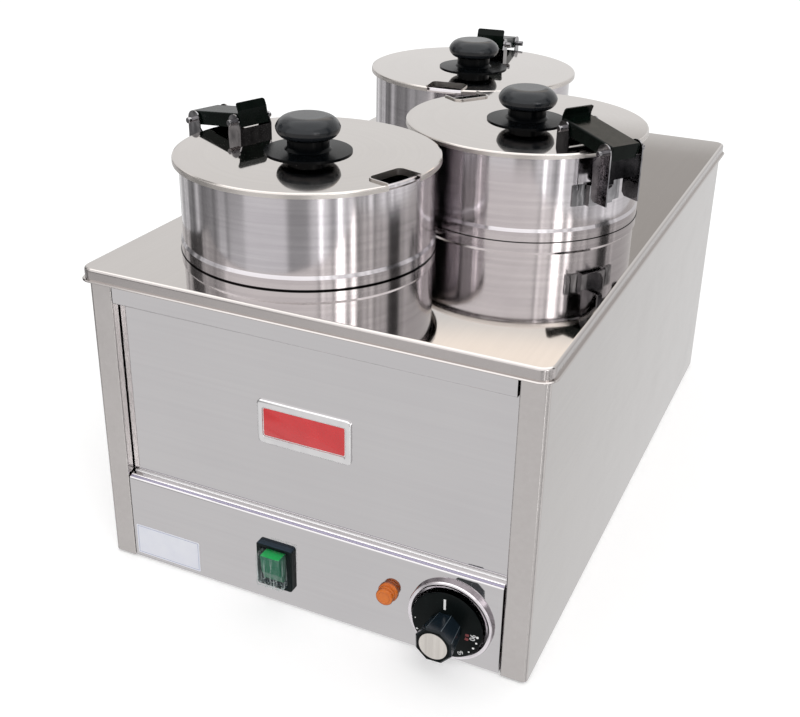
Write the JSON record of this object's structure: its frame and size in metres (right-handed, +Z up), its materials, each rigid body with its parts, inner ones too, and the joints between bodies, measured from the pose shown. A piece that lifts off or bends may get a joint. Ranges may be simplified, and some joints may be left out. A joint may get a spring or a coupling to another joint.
{
  "type": "countertop food warmer",
  "caption": "Countertop food warmer: polished steel box with a water well, and round pots whose hinged lids have a knob and a ladle notch.",
  "frame": {"origin": "middle of the footprint, on the surface that the feet stand on", "axes": "+X to the right of someone facing the controls, +Y from the front to the back, +Z up"},
  "size_m": [0.366, 0.6176, 0.3545],
  "materials": {
    "steel_panel": "fine polished sheet",
    "steel_deck": "mirror-polished sheet",
    "steel_pot": "mirror-polished, spun",
    "steel_lid": "mirror-polished, pressed",
    "plain_steel": "dull galvanised",
    "chrome_trim": "bright plated",
    "black_arm": "gloss black",
    "black_knob": "satin black",
    "black_dial": "satin black with white marks",
    "bright_cap": "spun",
    "black_switch": "gloss black",
    "green_core": "lit green",
    "clear_lens": "clear plastic",
    "amber_lens": "translucent amber",
    "rubber_foot": "matt black",
    "element_sheath": "heat-tinted sheath",
    "copper_bulb": "drawn tube",
    "block_plastic": "off-white",
    "grey_case": "moulded"
  },
  "bodies": {
    "housing": {"left_side_panel": "steel_panel", "right_side_panel": "steel_panel", "front_panel": "steel_panel", "control_panel": "steel_panel", "rear_panel": "plain_steel", "bottom_plate": "plain_steel", "feet": "rubber_foot", "top_deck": "steel_deck", "water_well": "steel_pot", "heating_element": "element_sheath", "element_clamps": "plain_steel", "thermostat_body": "grey_case", "thermostat_bulb": "copper_bulb", "terminal_block": "block_plastic", "cable_gland": "black_switch", "dial_bezel": "chrome_trim", "switch_housing": "black_switch", "pilot_lens": "amber_lens", "pilot_body": "grey_case"},
    "dial": {"dial_knob": "black_dial", "dial_cap": "bright_cap", "dial_spindle": "plain_steel"},
    "rocker": {"switch_rocker": "green_core", "switch_lens": "clear_lens"},
    "front_pot_set": {"front_pot": "steel_pot", "front_strap": "chrome_trim"},
    "front_clevis_set": {"front_clevis": "chrome_trim", "front_clevis_pin": "chrome_trim"},
    "front_arm_set": {"front_arm": "black_arm"},
    "front_lid_set": {"front_lid": "steel_lid", "front_lid_knob": "black_knob", "front_lid_bracket": "chrome_trim", "front_lid_pin": "chrome_trim"},
    "right_pot_set": {"right_pot": "steel_pot", "right_strap": "chrome_trim"},
    "right_clevis_set": {"right_clevis": "chrome_trim", "right_clevis_pin": "chrome_trim"},
    "right_arm_set": {"right_arm": "black_arm"},
    "right_lid_set": {"right_lid": "steel_lid", "right_lid_knob": "black_knob", "right_lid_bracket": "chrome_trim", "right_lid_pin": "chrome_trim"},
    "rear_pot_set": {"rear_pot": "steel_pot", "rear_strap": "chrome_trim"},
    "rear_clevis_set": {"rear_clevis": "chrome_trim", "rear_clevis_pin": "chrome_trim"},
    "rear_arm_set": {"rear_arm": "black_arm"},
    "rear_lid_set": {"rear_lid": "steel_lid", "rear_lid_knob": "black_knob", "rear_lid_bracket": "chrome_trim", "rear_lid_pin": "chrome_trim"}
  },
  "joints": [
    {"name": "dial_turn", "type": "hinge", "parent": "housing", "child": "dial", "pos_m": [0.1197, -0.27618, 0.0384], "axis": [0, 1, 0], "range_deg": [0, 270]},
    {"name": "rocker_tip", "type": "hinge", "parent": "housing", "child": "rocker", "pos_m": [-0.0242, -0.27818, 0.0369], "axis": [-1, 0, 0], "range_deg": [0, 13]},
    {"name": "front_pot_lift", "type": "slide", "parent": "housing", "child": "front_pot_set", "axis": [0, 0, 1], "range_m": [0, 0.15]},
    {"name": "front_clevis_lift", "type": "slide", "parent": "front_pot_set", "child": "front_clevis_set", "axis": [0, 0, 1], "range_m": [0, 0.03]},
    {"name": "front_arm_swing", "type": "hinge", "parent": "front_clevis_set", "child": "front_arm_set", "pos_m": [-0.16972, -0.12202, 0.331], "axis": [-0.309, -0.9511, 0], "range_deg": [0, 95]},
    {"name": "front_lid_tilt", "type": "hinge", "parent": "front_arm_set", "child": "front_lid_set", "pos_m": [-0.12217, -0.13747, 0.3383], "axis": [-0.309, -0.9511, 0], "range_deg": [0, 10]},
    {"name": "right_pot_lift", "type": "slide", "parent": "housing", "child": "right_pot_set", "axis": [0, 0, 1], "range_m": [0, 0.15]},
    {"name": "right_clevis_lift", "type": "slide", "parent": "right_pot_set", "child": "right_clevis_set", "axis": [0, 0, 1], "range_m": [0, 0.03]},
    {"name": "right_arm_swing", "type": "hinge", "parent": "right_clevis_set", "child": "right_arm_set", "pos_m": [0.15533, -0.05718, 0.331], "axis": [0.5592, 0.829, 0], "range_deg": [0, 95]},
    {"name": "right_lid_tilt", "type": "hinge", "parent": "right_arm_set", "child": "right_lid_set", "pos_m": [0.11388, -0.02923, 0.3383], "axis": [0.5592, 0.829, 0], "range_deg": [0, 10]},
    {"name": "rear_pot_lift", "type": "slide", "parent": "housing", "child": "rear_pot_set", "axis": [0, 0, 1], "range_m": [0, 0.15]},
    {"name": "rear_clevis_lift", "type": "slide", "parent": "rear_pot_set", "child": "rear_clevis_set", "axis": [0, 0, 1], "range_m": [0, 0.03]},
    {"name": "rear_arm_swing", "type": "hinge", "parent": "rear_clevis_set", "child": "rear_arm_set", "pos_m": [-0.06983, 0.29344, 0.331], "axis": [-0.9945, -0.1045, 0], "range_deg": [0, 95]},
    {"name": "rear_lid_tilt", "type": "hinge", "parent": "rear_arm_set", "child": "rear_lid_set", "pos_m": [-0.06461, 0.24371, 0.3383], "axis": [-0.9945, -0.1045, 0], "range_deg": [0, 10]}
  ],
  "couplings": [
    {"joint": "front_lid_tilt", "follows": "front_arm_swing", "ratio": 0.1},
    {"joint": "right_lid_tilt", "follows": "right_arm_swing", "ratio": 0.1},
    {"joint": "rear_lid_tilt", "follows": "rear_arm_swing", "ratio": 0.1}
  ]
}
